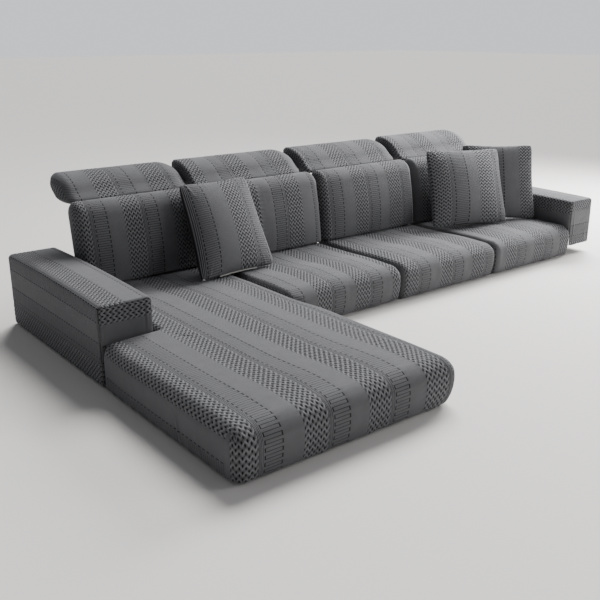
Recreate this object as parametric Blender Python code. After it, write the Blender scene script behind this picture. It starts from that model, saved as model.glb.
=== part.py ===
"""Fitted stretch covers for an L-shaped sofa with a chaise, as they sit pulled over its seats, backs,
headrests and arms, with the three scatter cushions that are cased in the same cloth.

Each cover is a hollow shell of cloth with its elastic hem turned under. Sizes are in metres: X runs
along the sofa's back, Y from its front to its back and Z up. They are counted from the corner of the
floor under the chaise's outer front, and an empty there carries every piece. The origin is under the
top of the chaise's cover, where the seat holds it up.
"""

import math
from collections import namedtuple

import bpy
import numpy as np

# Cloth and clearances
CLOTH = 0.0028
GAP = 0.0003

# Heights over the floor
HEM = 0.270
BACK_TOP = 0.825
ARM_TOP = 0.589
RIGHT_ARM_HEM = 0.318

# Places along the back: the chaise's outer side, the splits between the seats, the right arm's ends
LEFT = 0.0
SPLITS = (0.2285, 0.9150, 1.6320, 2.3460, 3.0400)
RIGHT = 3.2490

# Places from front to back
CHAISE_FRONT = 0.0
SEAT_FRONT = 0.953
SEAT_BACK = 1.640
ARM_FRONT = 0.893
RIGHT_ARM_FRONT = 0.955
BACK_FRONT = 1.545
BACK_REAR = 1.655
HEADREST_FRONT = 1.690
HEADREST_REAR = 1.865
ARM_REAR = 1.829

# Origin: under the top of the chaise's cover
ORIGIN = (0.458, 0.450, 0.4591)

# Cells across each rounding, on either side of its edge
ROUND_CELLS = 2
LONG_STRETCH = 0.4

# Two places closer than this are the same
SAME_PLACE = 1e-6

Finish = namedtuple("Finish", "colour roughness metallic")
FINISHES = {
    "knit": Finish((0.105, 0.107, 0.115, 1.0), 0.92, 0.0),
    "knit_shaded": Finish((0.070, 0.072, 0.078, 1.0), 0.92, 0.0),
    "zip_tape": Finish((0.46, 0.44, 0.41, 1.0), 0.6, 0.0),
    "zip_metal": Finish((0.72, 0.71, 0.69, 1.0), 0.3, 0.9),
}

# low and high are the cover's corners, near_round and far_round its rounding along X, Y and Z at the
# sides that face down each axis and up it, and cells how many lie between them along each axis.
# notch is the corner that an L-shape lacks, as X and Y.
Block = namedtuple("Block", "low high near_round far_round cells notch")


def zone(edge, inward, radius):
    """Stations from an edge to the end of its rounding, spaced evenly in angle."""
    shares = [1 - k / ROUND_CELLS for k in range(ROUND_CELLS + 1)]
    return [edge + inward * radius * (1 - math.tan(math.pi / 4 * share)) for share in shares]


def stations(block, axis, inner_edge=None):
    """Where the cells' borders lie along one axis. inner_edge is the notch's wall, if there is one."""
    low, high = block.low[axis], block.high[axis]
    near, far = block.near_round[axis], block.far_round[axis]
    start = zone(low, 1, near)
    end = zone(high, -1, far)[::-1]
    if inner_edge is None:
        middles = [(start[-1], end[0])]
        knots = []
    else:
        wall, inward = inner_edge
        knots = sorted(zone(wall, inward, near if inward > 0 else far))
        middles = [(start[-1], knots[0]), (knots[-1], end[0])]
    found = list(start)
    for number, (first, last) in enumerate(middles):
        only_or_long = len(middles) == 1 or last - first > LONG_STRETCH
        cells = block.cells[axis] if only_or_long else 1
        found += [first + (last - first) * k / cells for k in range(1, cells + 1)]
        if number == 0:
            found += knots[1:]
    return sorted(set(round(value, 6) for value in found + end))


def cores(block):
    """The boxes that are left when the rounding is taken off the block: one, or two for an L."""
    low = np.array(block.low) + block.near_round
    high = np.array(block.high) - block.far_round
    if block.notch is None:
        return [(low, high)]
    wall_x, wall_y = block.notch
    front_high = np.array([high[0], wall_y - block.far_round[1], high[2]])
    side_low = np.array([wall_x + block.near_round[0], low[1], low[2]])
    return [(low, front_high), (side_low, high)]


def rounding_share(points, block):
    """How deep each point lies in the rounding, from 0 on a flat to 1 or more, and its nearest core point."""
    best_share, best_core = None, None
    for low, high in cores(block):
        core = np.clip(points, low, high)
        offset = points - core
        radius = np.where(offset < 0, block.near_round, block.far_round)
        share = np.linalg.norm(offset / radius, axis=1)
        if best_share is None:
            best_share, best_core = share, core
        else:
            nearer = share < best_share
            best_share = np.where(nearer, share, best_share)
            best_core = np.where(nearer[:, None], core, best_core)
    return best_share, best_core


def rounded(points, block):
    """Points of the block's plain faces, moved onto its rounded form."""
    share, core = rounding_share(points, block)
    return core + (points - core) / np.maximum(share, 1.0)[:, None]


def block_faces(block, hem_share):
    """The block's cells as (side, four index triples), facing out, with an opening in its low Z side.

    The low Z side keeps only the cells that lie deeper in the rounding than hem_share: the hem."""
    notch_x, notch_y = block.notch or (None, None)
    xs = stations(block, 0, notch_x and (notch_x, 1))
    ys = stations(block, 1, notch_y and (notch_y, -1))
    zs = stations(block, 2)
    top = len(zs) - 1
    core_height = cores(block)[0][0][2]

    def solid(i, j):
        inside = 0 <= i < len(xs) - 1 and 0 <= j < len(ys) - 1
        if not inside or block.notch is None:
            return inside
        return not (xs[i + 1] <= notch_x + SAME_PLACE and ys[j] >= notch_y - SAME_PLACE)

    def in_hem(i, j):
        centre = np.array([[(xs[i] + xs[i + 1]) / 2, (ys[j] + ys[j + 1]) / 2, core_height]])
        return rounding_share(centre, block)[0][0] > hem_share

    faces = []
    for i in range(len(xs) - 1):
        for j in range(len(ys) - 1):
            if not solid(i, j):
                continue
            faces.append(("top", [(i, j, top), (i + 1, j, top), (i + 1, j + 1, top), (i, j + 1, top)]))
            if in_hem(i, j):
                faces.append(("hem", [(i, j, 0), (i, j + 1, 0), (i + 1, j + 1, 0), (i + 1, j, 0)]))
            walls = (
                ("front", (i, j - 1), (i, j), (i + 1, j)),
                ("back", (i, j + 1), (i + 1, j + 1), (i, j + 1)),
                ("left", (i - 1, j), (i, j + 1), (i, j)),
                ("right", (i + 1, j), (i + 1, j), (i + 1, j + 1)),
            )
            for side, beyond, first, last in walls:
                if solid(*beyond):
                    continue
                for k in range(top):
                    lower = [(*first, k), (*last, k)]
                    upper = [(*last, k + 1), (*first, k + 1)]
                    faces.append((side, lower + upper))
    return faces, (xs, ys, zs)


def cloth_object(name, faces, grid, block, shape, parent, finish="knit"):
    """One piece of cloth: the given cells, rounded, then moved by shape, and thickened inwards."""
    keys = sorted({key for _, corners in faces for key in corners})
    index = {key: number for number, key in enumerate(keys)}
    plain = np.array([[grid[axis][key[axis]] for axis in range(3)] for key in keys])
    mesh = bpy.data.meshes.new(name)
    points = shape(rounded(plain, block))
    mesh.from_pydata(points.tolist(), [], [[index[key] for key in corners] for _, corners in faces])
    mesh.shade_smooth()
    cover = bpy.data.objects.new(name, mesh)
    cover.parent = parent
    bpy.context.scene.collection.objects.link(cover)
    thickness = cover.modifiers.new("cloth", "SOLIDIFY")
    thickness.thickness = CLOTH
    thickness.offset = -1
    thickness.use_even_offset = True
    cover.data.materials.append(material(finish))
    return cover


def material(name):
    """The finish of that name, as one material that its pieces share."""
    found = bpy.data.materials.get(name)
    if found:
        return found
    finish = FINISHES[name]
    made = bpy.data.materials.new(name)
    made.use_nodes = True
    shader = made.node_tree.nodes["Principled BSDF"]
    shader.inputs["Base Color"].default_value = finish.colour
    shader.inputs["Roughness"].default_value = finish.roughness
    shader.inputs["Metallic"].default_value = finish.metallic
    return made


def nearness(distance, reach):
    """1 at a side, falling smoothly to 0 at reach from it."""
    share = np.clip(1 - distance / reach, 0, 1)
    return share * share * (3 - 2 * share)


def swell(position, low, high):
    """0 at both ends of a stretch and 1 at its middle."""
    share = np.clip((position - low) / (high - low), 0, 1)
    return 4 * share * (1 - share)


# Seats ---------------------------------------------------------------------------------------------
# belly is how far a free side swells past its hem, crown how much the top rises in the middle.
Seat = namedtuple("Seat", "name left right front top crown belly_front belly_left belly_right")
SEATS = (
    Seat("cover_seat_chaise", LEFT, SPLITS[1], CHAISE_FRONT, 0.449, 0.013, 0.016, 0.008, 0.042),
    Seat("cover_seat_left", SPLITS[1], SPLITS[2], SEAT_FRONT, 0.448, 0.014, 0.020, 0.0, 0.0),
    Seat("cover_seat_middle", SPLITS[2], SPLITS[3], SEAT_FRONT, 0.450, 0.015, 0.022, 0.0, 0.0),
    Seat("cover_seat_right", SPLITS[3], SPLITS[4], SEAT_FRONT, 0.449, 0.013, 0.020, 0.0, 0.0),
)
SEAT_NEAR_ROUND = (0.036, 0.056, 0.012)
SEAT_FAR_ROUND = (0.042, 0.035, 0.056)
SEAT_CELLS = (3, 3, 1)
# A cushion swells to a little past its top, so that its edge still stands out
SWELL_PAST_EDGE = 0.02
SWELL_REACH = 0.14
CROWN_RISES_OVER = 0.22
CROWN_FADES_FROM = 1.14
CROWN_ENDS = 1.36
CROWN_DEPTH = 0.06
# Below 1, a swelling is flatter in the middle and steeper at its ends
SEAT_FULLNESS = 0.6
FREE_SIDE_ENDS = 0.885
FREE_SIDE_FADE = 0.20


def seat_shape(seat):
    """Crown on the top, flat where the back rests on it, and free sides that swell past the hem."""

    def shape(points):
        x, y, z = points.T
        high = swell(z, HEM, seat.top + SWELL_PAST_EDGE)
        across = swell(x, seat.left, seat.right) ** SEAT_FULLNESS
        along = nearness(np.maximum(y - CROWN_FADES_FROM, 0), CROWN_ENDS - CROWN_FADES_FROM)
        along = along * (1 - nearness(y - seat.front, CROWN_RISES_OVER)) ** SEAT_FULLNESS
        crown = seat.crown * across * along * nearness(seat.top - z, CROWN_DEPTH)
        free = nearness(np.maximum(y - (FREE_SIDE_ENDS - FREE_SIDE_FADE), 0), FREE_SIDE_FADE)
        moved = points.copy()
        full = high ** SEAT_FULLNESS
        moved[:, 0] += seat.belly_right * full * free * nearness(seat.right - x, SWELL_REACH)
        moved[:, 0] -= seat.belly_left * high * free * nearness(x - seat.left, SWELL_REACH)
        moved[:, 1] -= seat.belly_front * high * nearness(y - seat.front, SWELL_REACH)
        moved[:, 2] += crown
        return moved

    return shape


def build_seats(parent):
    for seat in SEATS:
        chaise = seat.front == CHAISE_FRONT
        left = seat.left + (0 if chaise else GAP)
        notch = (SPLITS[0] + GAP, ARM_FRONT - GAP) if chaise else None
        block = Block((left, seat.front, HEM), (seat.right, SEAT_BACK, seat.top),
                      SEAT_NEAR_ROUND, SEAT_FAR_ROUND, SEAT_CELLS, notch)
        faces, grid = block_faces(block, 0.0)
        cloth_object(seat.name, faces, grid, block, seat_shape(seat), parent)


# Backs ---------------------------------------------------------------------------------------------
# A back's cover opens towards the rear, so it is built lying on its opening and then stood up.
Back = namedtuple("Back", "name left right belly")
BACKS = (
    Back("cover_back_chaise", SPLITS[0] + 0.010, SPLITS[1], 0.030),
    Back("cover_back_left", SPLITS[1], SPLITS[2], 0.034),
    Back("cover_back_middle", SPLITS[2], SPLITS[3], 0.036),
    Back("cover_back_right", SPLITS[3], SPLITS[4], 0.032),
)
BACK_NEAR_ROUND = (0.036, 0.030, 0.050)
BACK_FAR_ROUND = (0.050, 0.060, 0.056)
BACK_CELLS = (3, 3, 1)
BACK_FULLNESS = 0.45
BACK_SWELL_DEPTH = 0.09
FRONT_LEAN = 0.17
REAR_LEAN = 0.15


def back_shape(back, bottom):
    """Stands the cover up, leans it to the rear and swells its front."""

    def shape(points):
        x, up, out = points.T
        high = swell(up, bottom - SWELL_PAST_EDGE, BACK_TOP + SWELL_PAST_EDGE)
        across = swell(x, back.left, back.right) ** BACK_FULLNESS
        belly = back.belly * high * across * nearness(-BACK_FRONT - out, BACK_SWELL_DEPTH)
        lean = np.interp(-out, (BACK_FRONT, BACK_REAR), (FRONT_LEAN, REAR_LEAN))
        rear = -out + lean * (up - bottom) - belly
        return np.column_stack([x, rear, up])

    return shape


def build_backs(parent):
    for back, seat in zip(BACKS, SEATS):
        bottom = seat.top + GAP
        block = Block((back.left + GAP, bottom, -BACK_REAR), (back.right, BACK_TOP, -BACK_FRONT),
                      BACK_NEAR_ROUND, BACK_FAR_ROUND, BACK_CELLS, None)
        faces, grid = block_faces(block, 0.0)
        cloth_object(back.name, faces, grid, block, back_shape(back, bottom), parent)


# Headrests -----------------------------------------------------------------------------------------
# The pads lie back behind the tops of the back cushions, and their covers are open below.
Headrest = namedtuple("Headrest", "name left right top left_round")
HEADRESTS = (
    Headrest("cover_headrest_chaise", SPLITS[0] + 0.016, SPLITS[1] - 0.018, 0.925, 0.055),
    Headrest("cover_headrest_left", SPLITS[1] - 0.018, SPLITS[2] - 0.018, 0.926, 0.026),
    Headrest("cover_headrest_middle", SPLITS[2] - 0.018, SPLITS[3] - 0.018, 0.928, 0.026),
    Headrest("cover_headrest_right", SPLITS[3] - 0.018, SPLITS[4] - 0.018, 0.934, 0.026),
)
HEADREST_BOTTOM = 0.800
HEADREST_FRONT_ROUND = 0.100
HEADREST_LOW_ROUND = 0.030
HEADREST_FAR_ROUND = (0.100, 0.070, 0.068)
HEADREST_CELLS = (3, 1, 1)
HEADREST_LEAN = 0.75
HEADREST_TUCK = 0.0328
HEADREST_TUCK_HEIGHT = 0.07
HEADREST_HEM_SHARE = 0.5


def headrest_shape(points):
    """Leans the pad back, more steeply where it comes down behind the back cushion."""
    height = points[:, 2] - HEADREST_BOTTOM
    moved = points.copy()
    moved[:, 1] += HEADREST_LEAN * height - HEADREST_TUCK * nearness(height, HEADREST_TUCK_HEIGHT)
    return moved


def build_headrests(parent):
    for rest in HEADRESTS:
        low = (rest.left + GAP, HEADREST_FRONT, HEADREST_BOTTOM)
        high = (rest.right, HEADREST_REAR, rest.top)
        near_round = (rest.left_round, HEADREST_FRONT_ROUND, HEADREST_LOW_ROUND)
        block = Block(low, high, near_round, HEADREST_FAR_ROUND, HEADREST_CELLS, None)
        faces, grid = block_faces(block, HEADREST_HEM_SHARE)
        cloth_object(rest.name, faces, grid, block, headrest_shape, parent)


# Arms ----------------------------------------------------------------------------------------------
# Each arm's cover is a long piece over the top, both sides and the rear, and a front panel sewn to it.
Arm = namedtuple("Arm", "side left right front hem crown")
ARMS = (
    Arm("left", LEFT, SPLITS[0] - GAP, ARM_FRONT, HEM, 0.014),
    Arm("right", SPLITS[4] + GAP, RIGHT, RIGHT_ARM_FRONT, RIGHT_ARM_HEM, 0.010),
)
ARM_NEAR_ROUND = (0.020, 0.010, 0.012)
ARM_FAR_ROUND = (0.020, 0.028, 0.020)
ARM_CELLS = (1, 4, 1)
ARM_SWELL_DEPTH = 0.10
ARM_SWELL_PAST_REAR = 0.20


def arm_shape(arm):
    """The top rises a little between its ends."""

    def shape(points):
        moved = points.copy()
        rise = swell(points[:, 1], arm.front - SWELL_PAST_EDGE, ARM_REAR + ARM_SWELL_PAST_REAR)
        moved[:, 2] += arm.crown * rise * nearness(ARM_TOP - points[:, 2], ARM_SWELL_DEPTH)
        return moved

    return shape


def build_arms(parent):
    for arm in ARMS:
        panel_depth = CLOTH + GAP
        block = Block((arm.left, arm.front + panel_depth, arm.hem), (arm.right, ARM_REAR, ARM_TOP),
                      ARM_NEAR_ROUND, ARM_FAR_ROUND, ARM_CELLS, None)
        faces, grid = block_faces(block, 0.0)
        shape = arm_shape(arm)
        long_piece = [face for face in faces if face[0] != "front"]
        front_panel = [face for face in faces if face[0] == "front"]
        cloth_object("cover_arm_" + arm.side, long_piece, grid, block, shape, parent)
        panel_name = "panel_arm_" + arm.side
        panel = cloth_object(panel_name, front_panel, grid, block, shape, parent, "knit_shaded")
        panel.location.y = -panel_depth


# Scatter cushions ----------------------------------------------------------------------------------
# The corners of the seam, as seen from the front; half is half the thickness in the middle.
Cushion = namedtuple("Cushion", "name low_left low_right high_right high_left half")
CUSHIONS = (
    Cushion("cushion_chaise", (0.694, 1.310, 0.4545), (1.146, 1.351, 0.4525),
            (1.151, 1.607, 0.858), (0.731, 1.547, 0.867), 0.062),
    Cushion("cushion_front", (2.279, 1.355, 0.4605), (2.774, 1.213, 0.4605),
            (2.913, 1.434, 0.867), (2.401, 1.556, 0.882), 0.062),
    Cushion("cushion_corner", (2.640, 1.450, 0.4545), (3.000, 1.175, 0.4545),
            (3.112, 1.325, 0.882), (2.800, 1.624, 0.877), 0.050),
)
CUSHION_CELLS = 12
CUSHION_STEPS = np.sin(np.linspace(-math.pi / 2, math.pi / 2, CUSHION_CELLS + 1))
CUSHION_EDGE = 0.0035
# The higher the squareness, the further out a cushion stays thick; fullness is as for the seats
CUSHION_SQUARENESS = 2.2
CUSHION_FULLNESS = 0.55
DRAWN_IN = 0.055


def unit(vector):
    return vector / np.linalg.norm(vector)


def cushion_axes(cushion):
    """The cushion's own right, up and outward directions."""
    low_left, low_right, high_right, high_left = (np.array(corner) for corner in cushion[1:5])
    right = unit(low_right + high_right - low_left - high_left)
    up = unit(high_left + high_right - low_left - low_right)
    return right, up, unit(np.cross(right, up))


def seam_points(cushion, s, t):
    """Points in the cushion's middle plane; s and t run from -1 to 1, and the sides draw in."""
    across = s * (1 - DRAWN_IN * (1 - t * t))
    up = t * (1 - DRAWN_IN * (1 - s * s))
    low_left, low_right, high_right, high_left = (np.array(corner) for corner in cushion[1:5])
    u, v = ((1 + across) / 2)[..., None], ((1 + up) / 2)[..., None]
    low_side = low_left * (1 - u) + low_right * u
    high_side = high_left * (1 - u) + high_right * u
    return low_side * (1 - v) + high_side * v


def cushion_points(cushion, front):
    """A grid of points on the front or the back of a cushion, puffed out from its seam."""
    s, t = np.meshgrid(CUSHION_STEPS, CUSHION_STEPS, indexing="ij")
    inside = (1 - np.abs(s) ** CUSHION_SQUARENESS) * (1 - np.abs(t) ** CUSHION_SQUARENESS)
    puff = cushion.half * inside ** CUSHION_FULLNESS + CUSHION_EDGE
    outward = cushion_axes(cushion)[2] * (1 if front else -1)
    return seam_points(cushion, s, t) + puff[..., None] * outward


def build_cushions(parent):
    count = CUSHION_CELLS + 1
    for cushion in CUSHIONS:
        front = cushion_points(cushion, True).reshape(-1, 3)
        rear = cushion_points(cushion, False).reshape(-1, 3)
        faces = []
        for i in range(CUSHION_CELLS):
            for j in range(CUSHION_CELLS):
                corners = [i * count + j, (i + 1) * count + j, (i + 1) * count + j + 1, i * count + j + 1]
                faces.append(corners)
                faces.append([count * count + corner for corner in reversed(corners)])
        border = [(i, 0) for i in range(CUSHION_CELLS)] + [(CUSHION_CELLS, j) for j in range(CUSHION_CELLS)]
        border += [(i, CUSHION_CELLS) for i in range(CUSHION_CELLS, 0, -1)]
        border += [(0, j) for j in range(CUSHION_CELLS, 0, -1)]
        ring = [i * count + j for i, j in border]
        for here, following in zip(ring, ring[1:] + ring[:1]):
            faces.append([here, count * count + here, count * count + following, following])
        mesh = bpy.data.meshes.new(cushion.name)
        mesh.from_pydata(np.concatenate([front, rear]).tolist(), [], faces)
        mesh.shade_smooth()
        body = bpy.data.objects.new(cushion.name, mesh)
        body.data.materials.append(material("knit"))
        body.parent = parent
        bpy.context.scene.collection.objects.link(body)


# Zip of the cushion on the chaise ------------------------------------------------------------------
ZIP_FIRST_STEP = 4
ZIP_LAST_STEP = 8
ZIP_THICK = 0.0016
ZIP_WIDE = 0.0055
PULL_FROM_CORNER = (0.0125, 0.0010, 0.0094)
PULL_RADIUS = 0.0065
PULL_WIRE = 0.0011
PULL_STEPS = 10


def build_zip(parent):
    """The edge of the closed zip, which stands out of the cushion's low seam."""
    cushion = CUSHIONS[0]
    up, outward = cushion_axes(cushion)[1:]
    along = CUSHION_STEPS[ZIP_FIRST_STEP:ZIP_LAST_STEP + 1]
    seam = seam_points(cushion, along, np.full_like(along, -1.0))
    points, faces = [], []
    for place in seam:
        for drop, side in ((GAP, 1), (GAP + ZIP_WIDE, 1), (GAP + ZIP_WIDE, -1), (GAP, -1)):
            points.append(place - up * drop + outward * side * ZIP_THICK / 2)
    for number in range(len(seam) - 1):
        first = number * 4
        for edge in range(4):
            following = (edge + 1) % 4
            faces.append([first + edge, first + following, first + 4 + following, first + 4 + edge])
    last = (len(seam) - 1) * 4
    faces.append([3, 2, 1, 0])
    faces.append([last, last + 1, last + 2, last + 3])
    mesh = bpy.data.meshes.new("zip_tape")
    mesh.from_pydata([tuple(point) for point in points], [], faces)
    tape = bpy.data.objects.new("zip_tape", mesh)
    tape.data.materials.append(material("zip_tape"))
    tape.parent = parent
    bpy.context.scene.collection.objects.link(tape)


def build_pull(parent):
    """The zip's bail, a half ring that lies against the cushion's low corner."""
    cushion = CUSHIONS[0]
    right, up, outward = cushion_axes(cushion)
    beside, above, before = PULL_FROM_CORNER
    centre = np.array(cushion.low_left) + right * beside + up * above + outward * before
    wire = bpy.data.curves.new("zip_pull", "CURVE")
    wire.dimensions = "3D"
    wire.bevel_depth = PULL_WIRE
    wire.bevel_resolution = 2
    wire.use_fill_caps = True
    arc = wire.splines.new("POLY")
    arc.points.add(PULL_STEPS)
    for number, point in enumerate(arc.points):
        angle = math.pi * number / PULL_STEPS
        place = centre + PULL_RADIUS * (right * math.cos(angle) + up * math.sin(angle))
        point.co = (*place, 1.0)
    pull = bpy.data.objects.new("zip_pull", wire)
    pull.data.materials.append(material("zip_metal"))
    pull.parent = parent
    bpy.context.scene.collection.objects.link(pull)


def main():
    for old in list(bpy.data.objects):
        bpy.data.objects.remove(old)
    corner = bpy.data.objects.new("floor_corner", None)
    corner.location = [-value for value in ORIGIN]
    bpy.context.scene.collection.objects.link(corner)
    build_seats(corner)
    build_backs(corner)
    build_headrests(corner)
    build_arms(corner)
    build_cushions(corner)
    build_zip(corner)
    build_pull(corner)


main()
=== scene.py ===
"""Looks of an L-shaped set of stretch covers and of the cushions cased in the same cloth.

Each cover is a fine sheet over its CAD solid, and the jacquard's ribs are raised in its points. Its
columns follow the cloth's stripes, except on the arms. The same stripe functions also run through the
material's nodes, for the colour and the finest relief; the colour holds painted shade in the ribs'
hollows and a painted highlight on their crests.

Sizes are in metres, from a point 0.27 m under the outer front corner of the chaise's seat: X along the
backs, Y to the rear and Z up. They are the CAD's own, and to_frame moves them into the frame.
"""

import math
from collections import namedtuple

import bpy
import numpy as np
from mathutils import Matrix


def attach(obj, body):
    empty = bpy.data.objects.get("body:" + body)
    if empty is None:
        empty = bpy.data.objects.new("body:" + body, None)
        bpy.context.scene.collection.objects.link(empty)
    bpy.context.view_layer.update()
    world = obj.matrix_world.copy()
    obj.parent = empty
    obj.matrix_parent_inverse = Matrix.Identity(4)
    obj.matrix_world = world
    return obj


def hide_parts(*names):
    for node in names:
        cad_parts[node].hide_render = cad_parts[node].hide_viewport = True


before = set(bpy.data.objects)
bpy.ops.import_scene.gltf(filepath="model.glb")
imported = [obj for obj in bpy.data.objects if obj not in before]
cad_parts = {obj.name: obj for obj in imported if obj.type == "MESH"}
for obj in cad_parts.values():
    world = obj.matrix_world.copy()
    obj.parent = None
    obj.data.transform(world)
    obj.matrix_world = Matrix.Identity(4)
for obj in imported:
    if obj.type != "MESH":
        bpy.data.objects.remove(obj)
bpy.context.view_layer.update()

ORIGIN = np.array((0.458, 0.45, 0.4591))
TURN = 2 * math.pi


def to_frame(points):
    return np.asarray(points) - ORIGIN


def new_mesh(name, points, faces):
    mesh = bpy.data.meshes.new(name)
    mesh.from_pydata(to_frame(points).tolist(), [], faces)
    return mesh


def add_object(name, data):
    added = bpy.data.objects.new(name, data)
    bpy.context.scene.collection.objects.link(added)
    return added


def new_material(name, settings):
    """A material, its nodes and its shader, with the settings on the shader's own sockets."""
    material = bpy.data.materials.new(name)
    material.use_nodes = True
    shader = material.node_tree.nodes["Principled BSDF"]
    for socket, value in settings.items():
        shader.inputs[socket].default_value = value
    return material, material.node_tree, shader


# Stripes of the cloth ------------------------
# One repeat across the stripes: a zigzag band, a narrow ribbed gap, a ladder band and a plain one.
ZIGZAG_END = 0.097
GAP_END = 0.115
LADDER_END = 0.19
REPEAT = 0.27
FLANKS = 9
FLANK = ZIGZAG_END / FLANKS
ZIGZAG_RISE = 0.57
RIB_HALF = 0.25
GROOVE_FADE = 0.055
GROOVE_DEPTH = 0.62
LENS_HIGH = 0.3
LENS_WIDE = 0.0044
LENS_CORE = 0.72
LENS_FADE = 0.45
CREST_REACH = 0.19
CREST_LIFT = 0.35
RIB_STEP = 0.0045
LADDER_MARGIN = 0.005
LINE_HALF = 0.0008
DASH_HALF = 0.002
LINE_FADE = 0.0009
FAR = 1.0
GAP_DEPTH = 0.45
LADDER_DEPTH = 0.42
RUNG_DEPTH = 0.6
RUNG_DARKNESS = 0.8
BEADS = 8
BEAD_DARKNESS = 0.1


def arithmetic(operation, swapped=False):
    def method(wire, other):
        return wired(operation, *((other, wire) if swapped else (wire, other)))

    return method


class Wire:
    """A number that flows through the nodes of a material, with the same arithmetic as an array."""

    tree = None
    __add__ = arithmetic("ADD")
    __radd__ = arithmetic("ADD", True)
    __sub__ = arithmetic("SUBTRACT")
    __rsub__ = arithmetic("SUBTRACT", True)
    __mul__ = arithmetic("MULTIPLY")
    __rmul__ = arithmetic("MULTIPLY", True)
    __truediv__ = arithmetic("DIVIDE")

    def __init__(self, socket):
        self.socket = socket


def wired(operation, *values):
    node = Wire.tree.nodes.new("ShaderNodeMath")
    node.operation = operation
    for place, value in zip(node.inputs, values):
        if isinstance(value, Wire):
            Wire.tree.links.new(value.socket, place)
        else:
            place.default_value = value
    return Wire(node.outputs[0])


def either(operation, array_function):
    """The same function for wires and for arrays."""

    def function(*values):
        if any(isinstance(value, Wire) for value in values):
            return wired(operation, *values)
        return array_function(*values)

    return function


floor = either("FLOOR", np.floor)
absolute = either("ABSOLUTE", np.abs)
smaller = either("MINIMUM", np.minimum)
larger = either("MAXIMUM", np.maximum)
sine = either("SINE", np.sin)
root = either("SQRT", np.sqrt)
above = either("GREATER_THAN", lambda value, limit: (value > limit) * 1.0)


def fraction(value):
    return value - floor(value)


def smooth(share):
    return share * share * (3.0 - 2.0 * share)


def fade(distance, reach):
    """1 at distance 0, falling smoothly to 0 at reach."""
    return smooth(smaller(larger(1.0 - distance / reach, 0.0), 1.0))


def inside(value, low, high):
    return above(value, low) * above(high - value, 0.0)


def zigzag_band(across, along, pitch):
    """Ribs that run in zigzags over the band, one to a pitch, with lens-shaped hollows at their turns.

    Lengths here are shares of the pitch.
    """
    slope = ZIGZAG_RISE * pitch / FLANK
    flatter = 1.0 / math.sqrt(1.0 + slope * slope)
    turn = absolute(fraction(across / (2 * FLANK)) * 2.0 - 1.0) * 2.0 - 1.0
    over_rib = fraction(along / pitch + turn * (ZIGZAG_RISE / 2))
    peak = above(0.0, turn)
    to_peaked = over_rib * peak + (1.0 - over_rib) * (1.0 - peak)
    beside = (1.0 - absolute(turn)) * (FLANK / 2 / pitch)
    beyond = to_peaked - beside * slope
    past_turn = above(beyond, beside / slope)
    to_flank = to_peaked * flatter
    to_turn = root(beside * beside + beyond * beyond)
    from_peaked = to_flank + past_turn * (to_turn - to_flank)
    from_rib = smaller(from_peaked, (1.0 - to_peaked) * flatter)
    groove = (1.0 - fade(from_rib - RIB_HALF, GROOVE_FADE)) * GROOVE_DEPTH
    from_middle = absolute(beyond - 0.5) / LENS_HIGH + beside * (pitch / LENS_WIDE)
    hollow = larger(groove, fade(from_middle - LENS_CORE, LENS_FADE))
    # hollow is the depth of the grooves and lenses and also their painted shade; the crest share raises
    # the ribs and sets their painted highlight
    return hollow, fade(from_rib, CREST_REACH)


def ladder_band(across, along, pitch):
    """A dark line that runs to and fro over the band, as rungs joined at alternate ends."""
    rung_step = pitch / 2
    place = along / rung_step
    width = LADDER_END - GAP_END
    from_rung = (0.5 - absolute(fraction(place) - 0.5)) * rung_step
    left_turn = above(0.5, fraction(place / 2.0))
    outside = larger(LADDER_MARGIN - across, across - (width - LADDER_MARGIN)) - DASH_HALF
    rung = fade(larger(from_rung, outside) - LINE_HALF, LINE_FADE)
    from_left = absolute(across - LADDER_MARGIN)
    from_right = absolute(across - (width - LADDER_MARGIN))
    left = fade(from_left + FAR * (1.0 - left_turn) - DASH_HALF, LINE_FADE)
    right = fade(from_right + FAR * left_turn - DASH_HALF, LINE_FADE)
    return rung, larger(left, right)


def stripes(across, along, pitch):
    """Height from about -1 in the hollows to CREST_LIFT, darkness from 0 to 1, and the crests' share of
    painted highlight. The darkness is painted shade in the zigzag hollows and the gap's grooves, and the
    weave's own dark lines in the ladder band.
    """
    beads = 0.5 + 0.5 * sine(along * (TURN / (pitch / BEADS)))
    place = fraction(across / REPEAT) * REPEAT
    in_zigzag = inside(place, 0.0, ZIGZAG_END)
    in_gap = inside(place, ZIGZAG_END, GAP_END)
    in_ladder = inside(place, GAP_END, LADDER_END)
    hollow, crest_and_highlight = zigzag_band(place, along, pitch)
    rung, join = ladder_band(place - GAP_END, along, pitch)
    ribs = 0.5 - 0.5 * sine((place - ZIGZAG_END) * (TURN / RIB_STEP) + math.pi / 2)
    depth = in_zigzag * (hollow - CREST_LIFT * crest_and_highlight) + in_gap * ribs * GAP_DEPTH
    depth = depth + in_ladder * larger(rung * RUNG_DEPTH, join) * LADDER_DEPTH
    ladder = larger(rung * RUNG_DARKNESS, larger(join, beads * BEAD_DARKNESS))
    # Painted shade in the zigzag hollows and the gap's grooves; the ladder's lines and beads are the
    # weave's own dark pattern
    dark = in_zigzag * hollow + in_gap * ribs + in_ladder * ladder
    # The zigzags' crests and the gap's ribs get a painted highlight
    return -1.0 * depth, dark, in_zigzag * crest_and_highlight + in_gap * (1.0 - ribs)


def rib_heights(across, along, pitch):
    """How far the ribs raise the points of a mesh."""
    return np.clip(stripes(across, along, pitch)[0], -1, CREST_LIFT) * RELIEF


# Blocks: the same rounded forms as the solids, with finer cells ------------------------
# notch is the place of an L's inner corner
Block = namedtuple("Block", "low high near_round far_round notch", defaults=[None])

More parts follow.
